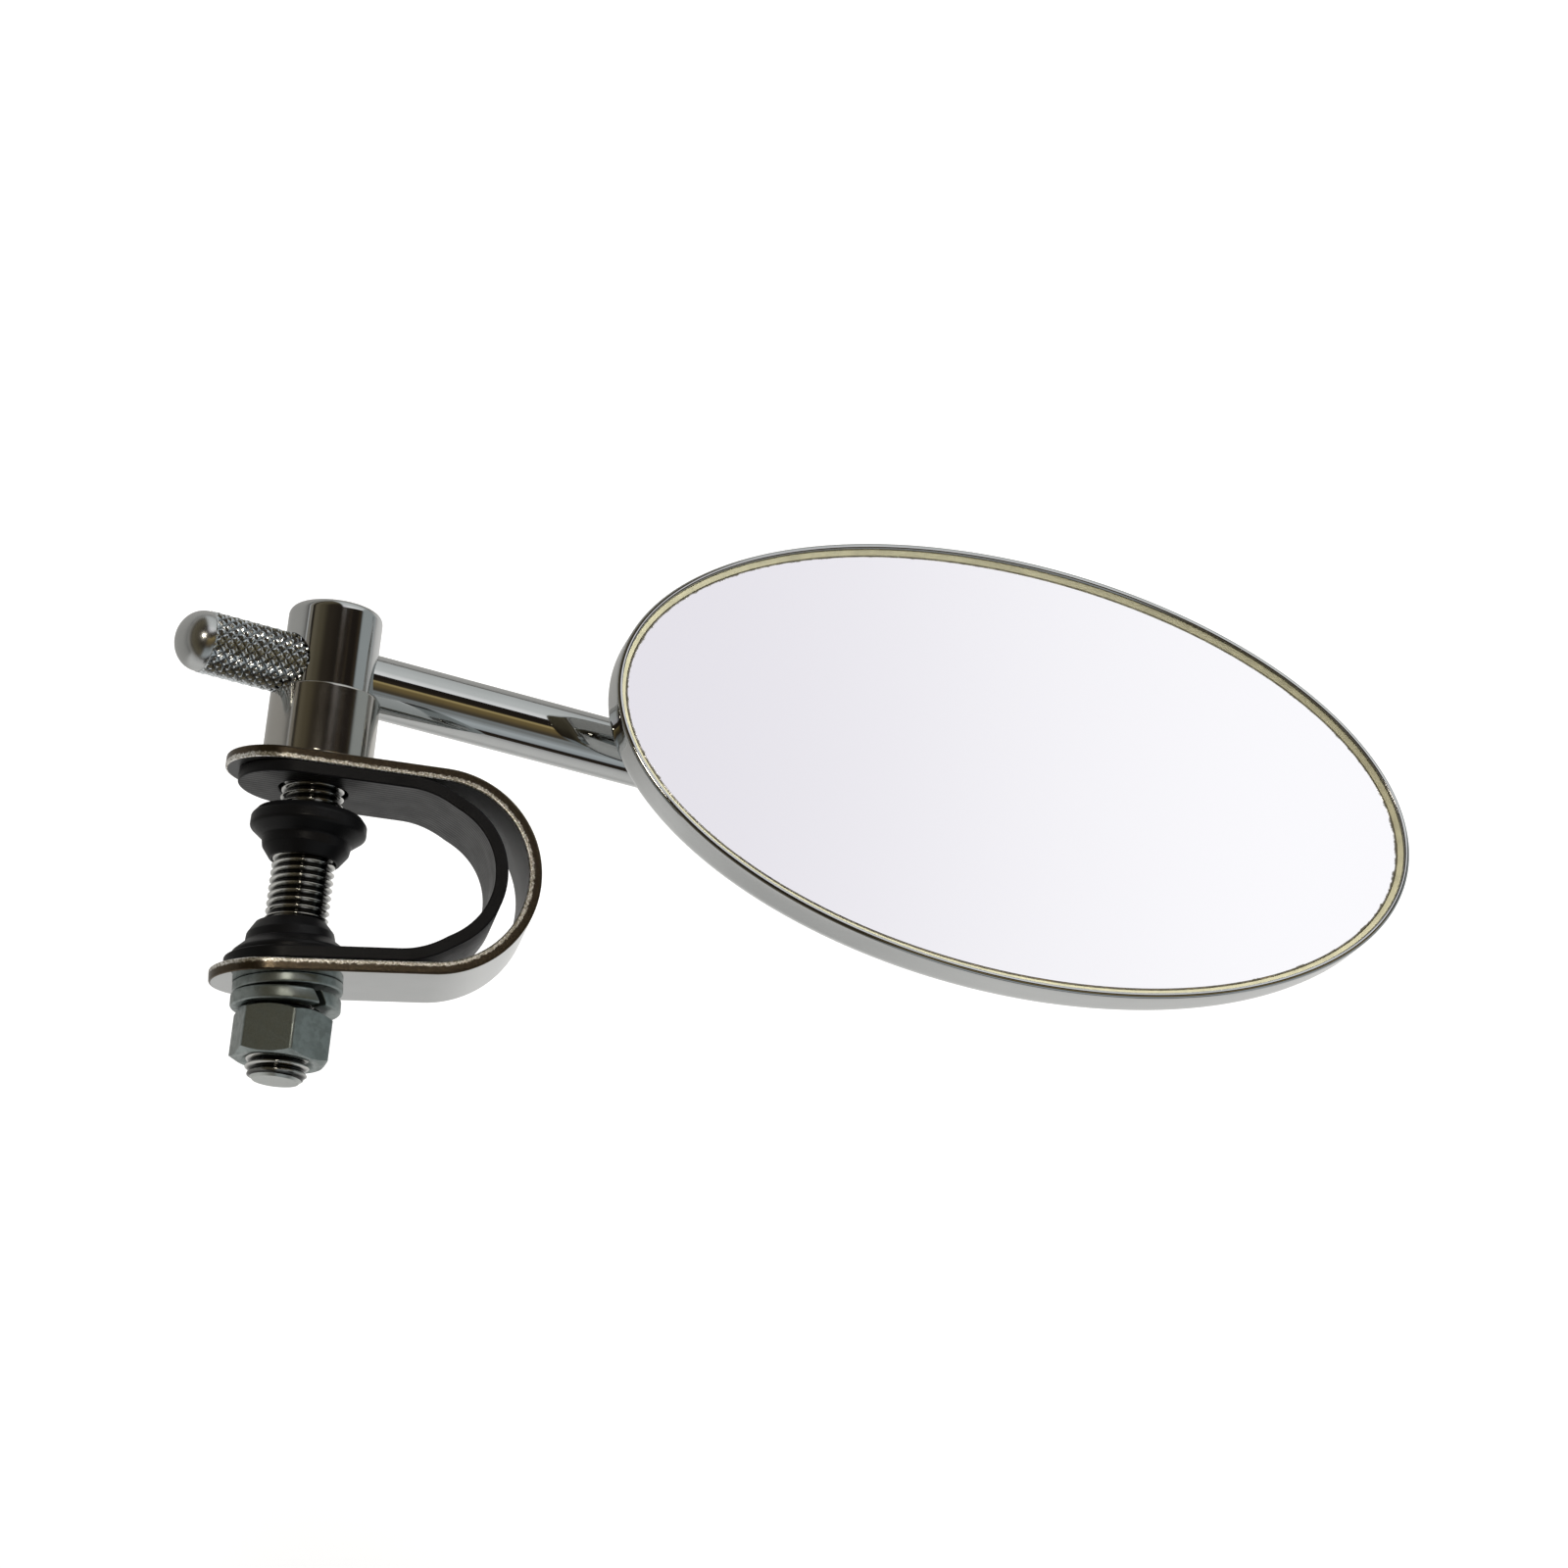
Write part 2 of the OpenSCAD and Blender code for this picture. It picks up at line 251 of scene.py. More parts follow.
# profiles and grids
def roundOff(points, steps=5, closed=False):  # arcs at the corners given as (x, y, radius)
    made = []
    for i, point in enumerate(points):
        here = Vector(point[:2])
        atEnd = not closed and i in (0, len(points) - 1)
        if len(point) < 3 or not point[2] or atEnd:
            made.append(here)
            continue
        back = Vector(points[i - 1][:2]) - here
        ahead = Vector(points[(i + 1) % len(points)][:2]) - here
        half = back.angle(ahead) / 2
        room = 0.49 * min(back.length, ahead.length)
        cut = min(point[2] / math.tan(half), room)
        radius = cut * math.tan(half)
        toCentre = (back.normalized() + ahead.normalized()).normalized()
        centre = here + toCentre * radius / math.sin(half)
        first = here + back.normalized() * cut - centre
        last = here + ahead.normalized() * cut - centre
        sweep = first.angle_signed(last)
        for s in range(steps + 1):
            made.append(centre + Matrix.Rotation(-sweep * s / steps, 2) @ first)
    return [(p[0], p[1]) for p in made]


def gridFaces(rows, columns, closedRows=False, closedColumns=True):
    faces = []
    for i in range(rows if closedRows else rows - 1):
        for j in range(columns if closedColumns else columns - 1):
            a, b = i * columns, (i + 1) % rows * columns
            k = (j + 1) % columns
            faces.append((a + j, a + k, b + k, b + j))
    return faces


def onCircle(radius, angle, height):
    return radius * math.cos(angle), radius * math.sin(angle), height


def brace(profile, closed, near=0.06):  # extra rings beside the corners keep long faces true
    made = []
    count = len(profile)
    for i, point in enumerate(profile):
        made.append(point)
        if i == count - 1 and not closed:
            break
        here, ahead = Vector(point), Vector(profile[(i + 1) % count])
        if (ahead - here).length > 8 * near:
            step = (ahead - here).normalized() * near
            made += [tuple(here + step), tuple(ahead - step)]
    return made


def lathe(profile, around=128, closed=False):  # profile of (radius, height)
    profile = brace(profile, closed)
    angles = np.arange(around) * 2 * math.pi / around
    points = []
    for radius, height in profile:
        points += [onCircle(radius, a, height) for a in angles]
    return points, gridFaces(len(profile), around, closed)


def cutRings(heights, around, radiusAt):  # rings whose radius changes with angle and height
    points = []
    for height in heights:
        for k in range(around):
            angle = 2 * math.pi * k / around
            points.append(onCircle(radiusAt(angle, height), angle, height))
    return points


def sweepOval(profile, around=256, closed=False):  # points of (share of the oval, offset, height)
    halfLength, halfWidth = glassSettings["length"] / 2, glassSettings["width"] / 2
    points = []
    for share, offset, height in profile:
        for k in range(around):
            a = 2 * math.pi * k / around
            points.append(((halfLength * share + offset) * math.cos(a),
                           (halfWidth * share + offset) * math.sin(a), height))
    return points, gridFaces(len(profile), around, closed)


def peg(radius, reach):
    return lathe([(0, -reach), (radius, -reach), (radius, reach), (0, reach)])


def makePiece(name, form, place, paint, ride, nodes, sharp=32):
    points, faces = form
    corners = np.c_[np.asarray(points, float), np.ones(len(points))] @ np.array(place).T
    mesh = bpy.data.meshes.new(name)
    mesh.from_pydata((corners[:, :3] * mm).tolist(), [], faces)
    shape = bmesh.new()
    shape.from_mesh(mesh)
    bmesh.ops.remove_doubles(shape, verts=shape.verts, dist=1e-7)
    bmesh.ops.recalc_face_normals(shape, faces=shape.faces)
    shape.to_mesh(mesh)
    shape.free()
    mesh.shade_smooth()
    mesh.set_sharp_from_angle(angle=math.radians(sharp))
    piece = bpy.data.objects.new(name, mesh)
    scene.collection.objects.link(piece)
    mesh.materials.append(paint)
    if ride:
        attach(piece, ride)
        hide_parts(*nodes)
    return piece


def settle(piece, sharp=32):  # applies the modifiers
    view = bpy.context.evaluated_depsgraph_get()
    mesh = bpy.data.meshes.new_from_object(piece.evaluated_get(view))
    piece.modifiers.clear()
    piece.data = mesh
    mesh.shade_smooth()
    mesh.set_sharp_from_angle(angle=math.radians(sharp))


def bore(piece, form, place):  # cuts form out of the piece
    cutter = makePiece(piece.name + "Cutter", form, place, piece.data.materials[0], None, ())
    cut = piece.modifiers.new("bore", "BOOLEAN")
    cut.operation, cut.solver, cut.object = "DIFFERENCE", "EXACT", cutter
    settle(piece)
    bpy.data.objects.remove(cutter)


def softEdges(piece, width, segments, angle=40):
    edge = piece.modifiers.new("edges", "BEVEL")
    edge.width, edge.segments, edge.limit_method = width * mm, segments, "ANGLE"
    edge.angle_limit = math.radians(angle)
    edge.harden_normals = True


# finishes
finishes = {
    "chromeColour": (0.56, 0.57, 0.565), "chromeRoughness": 0.055, "chromeSpread": 0.06,
    "crestGain": 1.15, "grooveShade": 0.08,  # brighter chrome on the crests, and painted shade in the grooves
    "insideDark": (0.03, 0.031, 0.032), "insideLight": (0.085, 0.085, 0.087),
    # the strap's edge: shear-cut and torn bands, with a painted highlight on the inner side and painted
    # shade on the outer
    "edgeBright": ((0.5, 0.47, 0.4), (0.98, 0.96, 0.92)),
    "edgeDark": ((0.05, 0.038, 0.026), (0.15, 0.12, 0.085)), "edgeTearAndShade": (-0.42, -0.12),
    "zincColour": (0.33, 0.37, 0.36), "zincDark": (0.265, 0.3, 0.29), "zincRoughness": 0.34,
    "zincPatch": (0.35, 0.65), "sealPatch": (0.3, 0.75),  # where dark turns to light in the noise
    "rubberColour": (0.003, 0.003, 0.0033), "rubberBloom": 2.2, "ribPitch": 0.0011,
    "sealColour": (0.86, 0.82, 0.56), "sealShade": 0.82,
    "glassColour": (0.93, 0.925, 0.945), "glassWorn": (0.16, 0.15, 0.12), "wornFrom": (1.003, 1.008),
}
grains = {  # noise cells to the metre
    "fine": 2600, "chromeCloud": 180, "insideCloud": 240, "tornAndShadedBand": 1400, "spangle": 900,
    "zincCloud": 700, "rubberGrain": 3000, "rubberCloud": 260, "sealCloud": 350, "glassChip": 700,
    "glassTone": 12,
}


def scaled(colour, factor):
    return [min(c * factor, 1) for c in colour]


def chromePaint(name, roughness, tint=(1, 1, 1), mottle=0.02, grain=0.02):
    paint = newPaint(name)
    where = paint.coordinates()
    base = [c * t for c, t in zip(finishes["chromeColour"], tint)]
    cloud = paint.noise(where, grains["chromeCloud"], 3)
    fine = paint.noise(where, grains["fine"], 2)
    spread = finishes["chromeSpread"]
    colour = paint.blend(cloud, scaled(base, 1 - spread), scaled(base, 1 + spread))
    rough = roughness + (cloud - 0.5) * mottle + (fine - 0.5) * mottle
    return paint.finish({"Base Color": colour, "Metallic": 1.0, "Roughness": rough,
                         "Normal": paint.bump(fine, grain, 0.02)})


def grooveShadedPaint(name, place, root, crest, roughness, tint):  # painted shade in the grooves: the base colour darkens towards the root
    paint = newPaint(name)
    where = paint.coordinates()
    foot = place.translation * mm
    u, v = (paint.along(where, foot, place.col[k][:3]) / mm for k in (0, 1))
    fine = paint.noise(where, grains["fine"], 2)
    outOfGroove = paint.between(paint.length(u, v) + (fine - 0.5) * 0.08, root, crest)
    fullTone = [c * t * finishes["crestGain"] for c, t in zip(finishes["chromeColour"], tint)]
    colour = paint.blend(outOfGroove, scaled(fullTone, finishes["grooveShade"]), fullTone)
    return paint.finish({"Base Color": colour, "Metallic": 1.0,
                         "Roughness": roughness + (fine - 0.5) * 0.04})


def bendShadePaint():  # painted shade inside the bend: the chrome there is painted near black
    paint = newPaint("dullChrome")
    where = paint.coordinates()
    cloud = paint.noise(where, grains["insideCloud"], 4, 0.6)
    colour = paint.blend(cloud, finishes["insideDark"], finishes["insideLight"])
    return paint.finish({"Base Color": colour, "Metallic": 0.5, "Roughness": 0.3 + cloud * 0.1,
                         "Specular IOR Level": 0.2, "Normal": paint.bump(cloud, 0.1, 0.05)})


def cutEdgeAndHighlightPaint():  # bright on the inner side where the shear cut, partly a painted highlight; dark on the outer side where the steel tore, partly painted shade
    paint = newPaint("shearedEdge")
    where = paint.coordinates()
    s = strapSettings
    splay = math.radians(clampSettings["splay"])
    u = paint.along(where, (0, 0, 0), inBand.col[0][:3]) / mm - s["centre"][0]
    v = paint.along(where, (0, 0, 0), inBand.col[1][:3]) / mm
    height = paint.node("Math", {"operation": "ABSOLUTE"}, {0: v})
    limb = u * math.sin(splay) + height * math.cos(splay) - s["radius"]
    bend = paint.length(u, v) - s["radius"]
    onBend = paint.between(u, 0.2, 1.2)
    across = limb * (1 - onBend) + bend * onBend  # from the inner face, -1, to the outer face, 1
    ragged = paint.noise(where, grains["tornAndShadedBand"], 3, 0.7)
    speck = paint.noise(where, grains["fine"], 2, 0.6)
    tornAndShadedBand = paint.between(across + (ragged - 0.5) * 0.9, *finishes["edgeTearAndShade"])
    bright = paint.blend(paint.between(speck, 0.42, 0.6), *finishes["edgeBright"])
    dark = paint.blend(ragged, *finishes["edgeDark"])
    return paint.finish({"Base Color": paint.blend(tornAndShadedBand, bright, dark), "Metallic": 1.0,
                         "Roughness": 0.3 - tornAndShadedBand * 0.05, "Normal": paint.bump(speck, 0.4, 0.04)})


def zincPaint():
    paint = newPaint("zincPlating")
    where = paint.coordinates()
    spangle = paint.node("TexVoronoi", {}, {"Vector": where, "Scale": grains["spangle"]}, 1)
    speck = paint.axes(spangle)[0]
    cloud = paint.noise(where, grains["zincCloud"], 5, 0.65)
    mask = paint.between(cloud + (speck - 0.5) * 0.25, *finishes["zincPatch"])
    colour = paint.blend(mask, finishes["zincDark"], finishes["zincColour"])
    return paint.finish({"Base Color": colour, "Metallic": 1.0,
                         "Roughness": finishes["zincRoughness"] + (1 - mask) * 0.08,
                         "Normal": paint.bump(cloud + speck * 0.3, 0.25, 0.05)})


def rubberPaint(name, roughness, sheen, ribs=0.0):
    paint = newPaint(name)
    where = paint.coordinates()
    height = paint.noise(where, grains["rubberGrain"], 3, 0.6)
    cloud = paint.noise(where, grains["rubberCloud"], 3)
    if ribs:
        across = paint.along(where, (0, 0, 0), inClamp.col[2][:3])
        angle = across * (2 * math.pi / finishes["ribPitch"])
        height = height + paint.node("Math", {"operation": "SINE"}, {0: angle}) * ribs
    dark = finishes["rubberColour"]
    colour = paint.blend(cloud, dark, scaled(dark, finishes["rubberBloom"]))
    return paint.finish({"Base Color": colour, "Roughness": roughness + (cloud - 0.5) * 0.2,
                         "Specular IOR Level": sheen, "Normal": paint.bump(height, 0.3, 0.05)})


def sealPaint():
    paint = newPaint("creamSeal")
    where = paint.coordinates()
    cloud = paint.noise(where, grains["sealCloud"], 4, 0.6)
    fullTone, patch = finishes["sealColour"], paint.between(cloud, *finishes["sealPatch"])
    colour = paint.blend(patch, fullTone, scaled(fullTone, finishes["sealShade"]))
    return paint.finish({"Base Color": colour, "Roughness": 0.5,
                         "Normal": paint.bump(cloud, 0.3, 0.1)})


def glassPaint():
    paint = newPaint("mirrorGlass")
    where = paint.coordinates()
    origin = inHead.translation * mm
    u = paint.along(where, origin, inHead.col[0][:3]) / (glassSettings["length"] / 2 * mm)
    v = paint.along(where, origin, inHead.col[1][:3]) / (glassSettings["width"] / 2 * mm)
    edge = paint.length(u, v)
    chip = paint.noise(where, grains["glassChip"], 4, 0.7)
    worn = paint.between(edge + chip * 0.022, *finishes["wornFrom"])
    tone = paint.noise(where, grains["glassTone"], 1)
    clear = finishes["glassColour"]
    silver = paint.blend(tone, clear, scaled(clear, 1.02))
    colour = paint.blend(worn, silver, finishes["glassWorn"])
    return paint.finish({"Base Color": colour, "Metallic": 1.0 - worn * 0.6,
                         "Roughness": 0.015 + worn * 0.4})


polished = chromePaint("polishedChrome", finishes["chromeRoughness"])
postChrome = chromePaint("postChrome", 0.06)
satinChrome = chromePaint("satinChrome", 0.12, (0.92, 0.88, 0.83), 0.05, 0.04)
threadChrome = grooveShadedPaint("threadChrome", onBolt(), 4.35, 4.9, 0.16, (1, 0.98, 0.95))
knurlChrome = grooveShadedPaint("knurlChrome", onStem, 4.55, 4.8, 0.14, (1.1, 1.13, 1.17))
domeChrome = chromePaint("domeChrome", 0.24, (1, 1, 1), 0.05, 0.03)
endChrome = chromePaint("endChrome", 0.3, (0.95, 0.97, 0.94), 0.06, 0.2)
insideShadeChrome = bendShadePaint()
plated = zincPaint()
linerRubber = rubberPaint("linerRubber", 0.38, 0.2, 0.6)
bushRubber = rubberPaint("bushRubber", 0.36, 0.16)
cream = sealPaint()
silvered = glassPaint()
print("finishes made")


# stem: dome, knurled grip, shank, neck and spigot
stemSettings = {
    "radius": 5.0, "tail": -26.1, "dome": 4.3, "domeRadius": 4.85, "reach": 118.3, "shoulder": 102.8,
    "neck": 3.2, "neckStart": 2.5, "neckEnd": 5.2, "spigot": 3.0, "spigotPast": 3.2,
    "knurlStart": -21.5, "knurlEnd": -4.0, "diamonds": 18, "pitch": 1.7, "depth": 0.42,
    "crest": 1.35, "fade": 0.5, "columns": 12, "rowStep": 0.11,
    "gripFront": 0.2, "gripBack": 0.1, "shoulderEdge": 0.8, "neckEdge": 0.6,
}


def knurlDepth(s, angle, height):
    turns = s["diamonds"] * angle / (2 * math.pi)
    rise = height / s["pitch"]
    rows = [abs((turns + sign * rise) % 1.0 - 0.5) * 2 for sign in (1, -1)]
    crest = min(1.0, s["crest"] * (1 - max(rows)))
    inset = min(height - s["knurlStart"], s["knurlEnd"] - height)
    return s["depth"] * (1 - crest) * min(1.0, max(inset / s["fade"], 0.0))


def makeStem(s):
    r, neck, spigot = s["radius"], s["neck"], s["spigot"]
    neckStart, neckEnd = s["shoulder"] + s["neckStart"], s["reach"] - s["neckEnd"]
    tip = s["reach"] + s["spigotPast"]
    around = s["diamonds"] * s["columns"]
    dome = [math.radians(degrees) for degrees in range(0, 91, 3)]
    front = [(s["domeRadius"] * math.sin(a), s["tail"] + s["dome"] * (1 - math.cos(a))) for a in dome]
    front.append((r - s["gripFront"], s["knurlStart"]))
    heights = np.arange(s["knurlStart"] + s["rowStep"], s["knurlEnd"], s["rowStep"])
    back = [(r - s["gripBack"], s["knurlEnd"])] + roundOff([
        (r, s["knurlEnd"] + s["gripBack"]), (r, s["shoulder"], s["shoulderEdge"]),
        (neck, neckStart, s["neckEdge"]), (neck, neckEnd), (spigot, neckEnd), (spigot, tip), (0, tip)])
    points = lathe(front, around)[0]
    points += cutRings(heights, around, lambda angle, height: r - knurlDepth(s, angle, height))
    points += lathe(back, around)[0]
    form = points, gridFaces(len(points) // around, around)
    piece = makePiece("stemRod", form, onStem, polished, "stem", ("stem",), 22)
    piece.data.materials.append(knurlChrome)
    piece.data.materials.append(domeChrome)
    axis, foot = Vector(onStem.col[2][:3]), onStem.translation
    for face in piece.data.polygons:
        along = (face.center / mm - foot).dot(axis)
        if along < s["knurlEnd"]:
            face.material_index = 1 if along > s["knurlStart"] else 2


makeStem(stemSettings)
print("stem built")


# eye bolt: threaded shank and post
boltSettings = {
    "radius": 5.0, "end": -34.411, "endFlat": 3.6, "endRim": 4.0, "endDrop": 0.5,
    "pitch": 1.25, "threadDepth": 0.61, "threadTop": 15.8, "threadFoot": 0.6, "runIn": 1.2, "runOut": 1.5,
    "flank": (1.2, 0.08), "startDepth": 0.3,  # slope and drop of the flanks, depth at the end
    "postLow": 18.789, "postFoot": 0.6, "postTop": 42.889, "postRadius": 7.5, "postEdge": 1.4,
    "footInset": 0.5, "footEdges": (0.1, 0.2), "eye": 5.05, "eyeReach": 12, "rowStep": 0.08, "around": 96,
}


def threadRadius(s, angle, height):
    turns = (height / s["pitch"] - angle / (2 * math.pi)) % 1.0
    flank = 1 - abs(turns - 0.5) * 2
    slope, drop = s["flank"]
    crest = min(1.0, max(0.0, slope * flank - drop))
    full = min(1.0, max(0.0, (height - s["end"] - s["threadFoot"]) / s["runIn"]))  # 0 at the end
    runOut = min(1.0, max(0.0, (s["threadTop"] - height) / s["runOut"]))
    cut = s["startDepth"] + (1 - s["startDepth"]) * full
    depth = s["threadDepth"] * s["pitch"] * (1 - crest) * cut * runOut
    return s["radius"] - depth - s["endDrop"] * (1 - full)


def makeThread(s):
    around, r, tip = s["around"], s["radius"], s["end"]
    flat, rim = s["endFlat"], s["endRim"]
    heights = np.arange(tip + s["threadFoot"], s["threadTop"] + 0.4, s["rowStep"])
    points = lathe([(0, tip), (flat, tip), (flat + 0.02, tip), (rim, tip + 0.4), (rim + 0.02, tip + 0.42)],
                   around)[0]
    points += cutRings(heights, around, lambda angle, height: threadRadius(s, angle, height))
    points += lathe([(r, s["threadTop"] + 0.5), (r, s["postLow"]), (0, s["postLow"])], around)[0]
    form = points, gridFaces(len(points) // around, around)
    piece = makePiece("boltThread", form, onBolt(), threadChrome, "bolt", ("eye_bolt",), 75)
    piece.data.materials.append(endChrome)
    for face in piece.data.polygons:
        face.material_index = 1 if face.center.y / mm < tip + 0.45 else 0


def makePost(s):
    low, top, wide = s["postLow"], s["postTop"], s["postRadius"]
    foot = low - s["postFoot"]
    inner, outer = s["footEdges"]
    post = roundOff([(0, foot), (wide - s["footInset"], foot, inner), (wide, low, outer),
                     (wide, top, s["postEdge"]), (0, top)], 10)
    piece = makePiece("boltPost", lathe(post, 160), onBolt(), postChrome, "bolt", ("eye_bolt",))
    bore(piece, peg(s["eye"], s["eyeReach"]), onStem)


makeThread(boltSettings)
makePost(boltSettings)

sleeveSettings = {"radius": 8.75, "inner": 7.55, "low": 16.84, "top": 28.389, "eye": 5.05, "eyeReach": 14,
                  "lowEdge": 0.3, "topEdge": 0.35, "innerEdge": 0.15}


def makeSleeve(s):
    wide, inner, low, top = s["radius"], s["inner"], s["low"], s["top"]
    ring = roundOff([(inner, low), (wide, low, s["lowEdge"]), (wide, top, s["topEdge"]),
                     (inner, top, s["innerEdge"])], closed=True)
    piece = makePiece("saddleSleeve", lathe(ring, 160, True), onBolt(), satinChrome, "bolt",
                      ("saddle_sleeve",))
    bore(piece, peg(s["eye"], s["eyeReach"]), onStem)


makeSleeve(sleeveSettings)
print("eye bolt and sleeve built")


# strap and liner: a U-shaped band with rounded, drilled ears
strapSettings = {
    "centre": (1.7, 0.0), "radius": 15.7, "inner": 0.0, "thick": 2.0, "half": 9.5, "length": 31.6,
    "holes": ((-17.449, 5.08), (-19.206, 5.4)),  # place and radius, upper limb and lower limb
    "cut": -8.5, "edge": 0.45, "steps": 40,
}
linerSettings = {
    "centre": (-3.6, 0.0), "radius": 13.947, "inner": 12.1, "thick": 2.0, "half": 9.5, "length": 29.5,
    "holes": ((-17.555, 5.5), (-19.1, 5.5)), "cut": -8.5, "edge": 0.3, "steps": 48,
    "melt": 0.5,  # where the limbs melt into the round that lies on the bar
}


def bendPath(s):  # middle line of the bend, from the upper limb to the lower
    splay = math.radians(clampSettings["splay"])
    x, r, steps = s["centre"][0], s["radius"], s["steps"]
    start = (x + r * math.sin(splay), r * math.cos(splay))
    if not s["inner"]:
        angles = [(math.pi / 2 - splay) * (1 - k / steps) for k in range(2 * steps + 1)]
        return start, [(x + r * math.cos(a), r * math.sin(a)) for a in angles]
    first = math.atan2(start[1], start[0])
    melt, path = s["melt"], []
    for k in range(2 * steps + 1):
        a = first * (1 - k / steps)
        outer = x * math.cos(a) + math.sqrt((x * math.cos(a)) ** 2 - x * x + r * r)
        gap = outer - s["inner"]
        radius = s["inner"] + (gap + math.hypot(gap, melt)) / 2 - melt * melt / 4 / (abs(gap) + melt)
        path.append((radius * math.cos(a), radius * math.sin(a)))
    return start, path


def earOutline(s, across, side, turned):
    cut, half = s["cut"], s["half"]
    ear = -s["length"] + half
    points = [(cut, -half + 2 * half * k / across) for k in range(across + 1)]
    points += [(cut + (ear - cut) * k / side, half) for k in range(1, side + 1)]
    for k in range(1, turned + 1):
        a = math.pi / 2 + math.pi * k / turned
        points.append((ear + half * math.cos(a), half * math.sin(a)))
    points += [(ear + (cut - ear) * k / side, -half) for k in range(1, side)]
    return points


def bandForm(s, across=18, side=9, turned=40):
    splay = math.radians(clampSettings["splay"])
    start, bend = bendPath(s)

    def limb(x):
        return start[1] + (start[0] - x) * math.tan(splay)

    outline = earOutline(s, across, side, turned)
    shares = (0.0, 0.08, 0.3, 0.6, 0.92, 1.0)  # rings from the hole out to the edge of the ear
    points, faces = [], []
    for sign, (holeX, holeRadius) in zip((1, -1), s["holes"]):
        base = len(points)
        for share in shares:
            for x, z in outline:
                away = Vector((x - holeX, z))
                rim = away.normalized() * holeRadius
                spot = rim + (away - rim) * share
                points.append((holeX + spot.x, sign * limb(holeX + spot.x), spot.y))
        faces += [tuple(base + i for i in f) for f in gridFaces(len(shares), len(outline))]
    flat = [s["cut"] + (start[0] - s["cut"]) * k / 5 for k in range(5)]
    path = [(x, limb(x)) for x in flat] + bend + [(x, -limb(x)) for x in reversed(flat)]
    base, columns = len(points), across + 1
    for x, y in path:
        points += [(x, y, outline[j][1]) for j in range(columns)]
    faces += [tuple(base + i for i in f) for f in gridFaces(len(path), columns, False, False)]
    return points, faces


def makeBand(name, s, paints, nodes):  # paints of the outside, the edge and the inside
    piece = makePiece(name, bandForm(s), inBand, paints[0], "clamp", nodes)
    wall = piece.modifiers.new("wall", "SOLIDIFY")
    wall.thickness, wall.offset, wall.use_even_offset = s["thick"] * mm, 0.0, True
    wall.material_offset_rim, wall.material_offset = 1, 2
    softEdges(piece, s["edge"], 4)
    piece.modifiers["edges"].material = 1
    for paint in paints[1:]:
        piece.data.materials.append(paint)


makeBand("clampStrap", strapSettings, (polished, cutEdgeAndHighlightPaint(), insideShadeChrome), ("clamp_strap",))
makeBand("clampLiner", linerSettings, (linerRubber, bushRubber, linerRubber), ("clamp_liner",))
print("strap and liner built")


# bushes, washers and nut, along the bolt
bushSettings = {
    "radius": 9.2, "height": 7.7, "upperTop": 8.759, "lowerFoot": -16.728,
    "upperBore": 5.04, "lowerBore": 5.3,
    "steps": (  # inset from the radius, share of the height, rounding
        (0.9, 0, 0.3), (0.05, 0.14, 0.6), (0, 0.36, 0.8), (1.5, 0.52, 0.4), (2.1, 0.58, 0.5),
        (2.35, 0.76, 0.7), (3.7, 1, 0.5)),
}


def bushForm(s, hole):
    outside = [(s["radius"] - inset, s["height"] * share, edge) for inset, share, edge in s["steps"]]
    section = roundOff([(hole, 0)] + outside + [(hole, s["height"], 0.2)], 6, True)
    return lathe(section, closed=True)


def makeBushes(s):
    upper = onBolt(s["upperTop"]) @ turn("X", 180)
    makePiece("upperBush", bushForm(s, s["upperBore"]), upper, bushRubber, "bush",
              ("upper_bush",), 60)
    makePiece("lowerBush", bushForm(s, s["lowerBore"]), onBolt(s["lowerFoot"], clampSettings["lean"]),
              bushRubber, "clamp", ("lower_bush",), 60)


makeBushes(bushSettings)

washerSettings = {
    "radius": 8.6, "bore": 5.4, "flatTop": -18.835, "flat": 1.6, "springTop": -20.927, "spring": 2.2,
    "flatEdges": (0.1, 0.35, 0.25, 0.15), "springEdges": (0.2, 0.45, 0.45, 0.2),
    "splitTurn": -55, "splitLean": 35, "splitWidth": 1.1, "splitEdge": 0.12, "around": 160,
}


def washerRing(s, thick, edges):
    corners = (s["bore"], -thick), (s["radius"], -thick), (s["radius"], 0), (s["bore"], 0)
    return roundOff([(*corner, edge) for corner, edge in zip(corners, edges)], closed=True)


def makeFlatWasher(s):
    ring = washerRing(s, s["flat"], s["flatEdges"])
    makePiece("flatWasher", lathe(ring, closed=True), onBolt(s["flatTop"], clampSettings["lean"]), plated,
              "washers", ("flat_washer",))


def makeSpringWasher(s):  # a ring that stops at both sides of its slanting split
    t, r, around = s["spring"], s["radius"], s["around"]
    ring = washerRing(s, t, s["springEdges"])
    slant = math.tan(math.radians(s["splitLean"]))
    half = s["splitWidth"] / 2 / r / math.cos(math.radians(s["splitLean"]))
    points = []
    for k in range(around):
        a = half + (2 * math.pi - 2 * half) * k / (around - 1) + math.radians(s["splitTurn"])
        points += [onCircle(radius, a - (height + t / 2) * slant / r, height) for radius, height in ring]
    faces = gridFaces(around, len(ring))
    faces += [tuple(range(len(ring))), tuple((around - 1) * len(ring) + i for i in range(len(ring)))]
    piece = makePiece("springWasher", (points, faces), onBolt(s["springTop"], clampSettings["splay"]),
                      plated, "washers", ("spring_washer",))
    softEdges(piece, s["splitEdge"], 2, 50)


makeFlatWasher(washerSettings)
makeSpringWasher(washerSettings)

nutSettings = {
    "flats": 14.0, "height": 7.8, "foot": -31.411, "turn": -20, "bore": 4.5, "corner": 0.55,
    "chamfer": 6.75, "chamferAngle": 30,
    "mouth": ((0, 1.3), (0.15, 1.0), (1.1, 0.06), (1.25, 0.0)),  # out from the bore, in from the face
}


